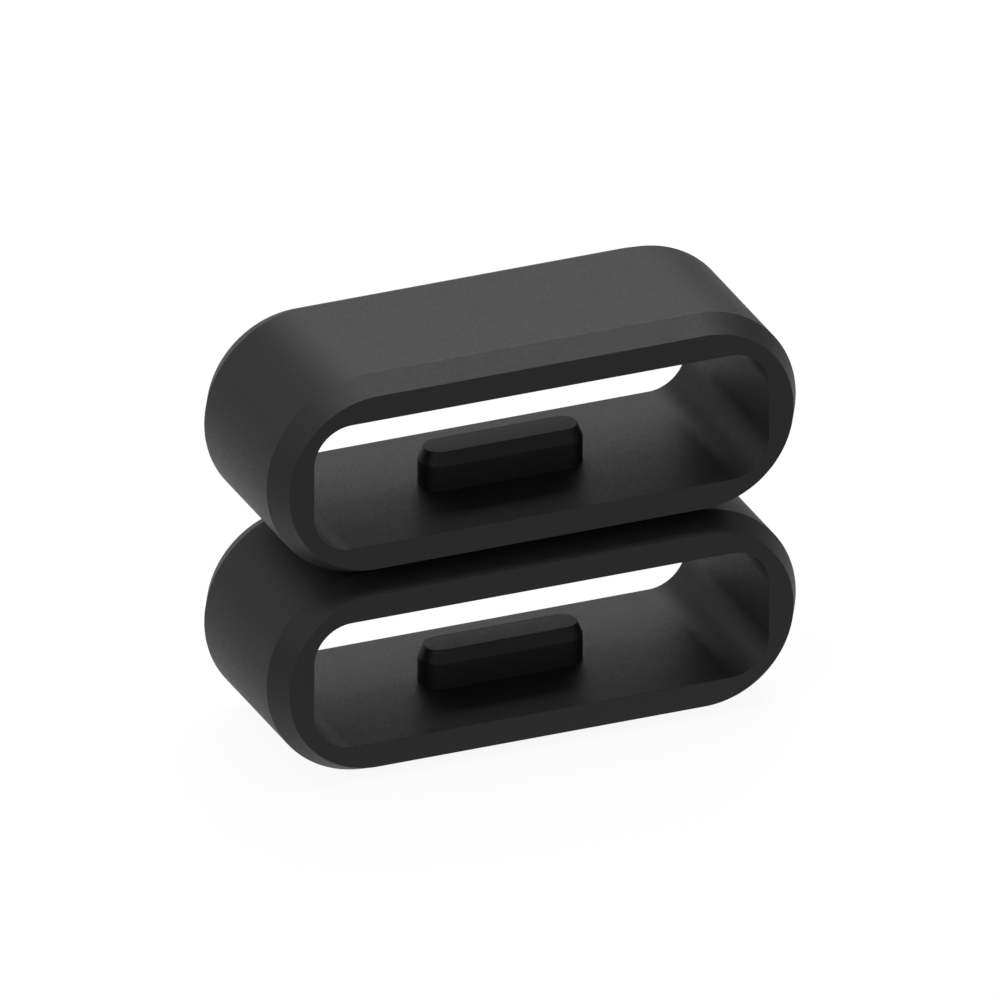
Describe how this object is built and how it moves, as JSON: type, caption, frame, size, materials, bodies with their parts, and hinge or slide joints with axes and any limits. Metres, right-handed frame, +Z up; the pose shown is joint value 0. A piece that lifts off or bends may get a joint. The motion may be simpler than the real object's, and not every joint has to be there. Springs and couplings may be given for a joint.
{
  "type": "watch band keeper",
  "caption": "Stacked oval silicone keeper loops with chamfered rims; each holds the free tail of a watch band in its channel, with a lug on the channel floor.",
  "frame": {"origin": "on the surface that the stack stands on, under its middle", "axes": "+X across the band along the keepers' long side, +Y along the band through both channels, away from the picture's viewer, +Z up through the stack"},
  "size_m": [0.0212, 0.008, 0.0162],
  "materials": {
    "silicone": "matte charcoal black, as it comes from a finely blasted mould, with a very fine grain"
  },
  "bodies": {
    "lower_keeper": {"lower_keeper": "silicone"},
    "upper_keeper": {"upper_keeper": "silicone"}
  },
  "joints": [
    {"name": "upper_keeper_lift", "type": "slide", "parent": "lower_keeper", "child": "upper_keeper", "axis": [0, 0, 1], "range_m": [0, 0.01]}
  ]
}
